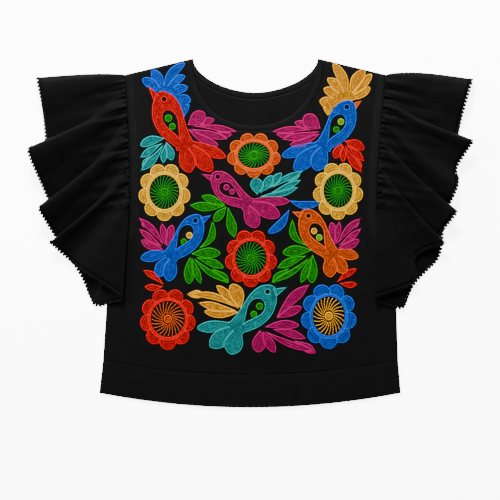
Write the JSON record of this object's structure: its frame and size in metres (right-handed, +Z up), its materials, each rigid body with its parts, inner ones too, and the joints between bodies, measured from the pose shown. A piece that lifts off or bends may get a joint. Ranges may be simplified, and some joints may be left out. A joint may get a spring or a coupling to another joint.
{
  "type": "embroidered blouse with ruffle sleeves",
  "caption": "Short black cotton blouse with a round neck, gathered ruffle sleeves with a picot edge and a wide hem band, laid flat and face up.",
  "frame": {"origin": "on the underside of the back panel, in the middle of the blouse", "axes": "+Z up from the surface towards the front panel's face, +Y towards the neck, +X towards the wearer's left sleeve"},
  "size_m": [0.6946, 0.5443, 0.0204],
  "materials": {
    "cotton": "plain woven black cotton, matt",
    "binding": "folded black cotton binding, stitched",
    "trim": "black cotton thread, small picot loops",
    "embroidery": "bright stranded thread in dense raised fills"
  },
  "bodies": {
    "root": {"front": "cotton", "back": "cotton", "hem_band_front": "cotton", "hem_band_back": "cotton", "neck_binding_front": "binding", "neck_binding_back": "binding", "ruffle_right": "cotton", "ruffle_left": "cotton", "trim_right": "trim", "trim_left": "trim"}
  },
  "joints": []
}
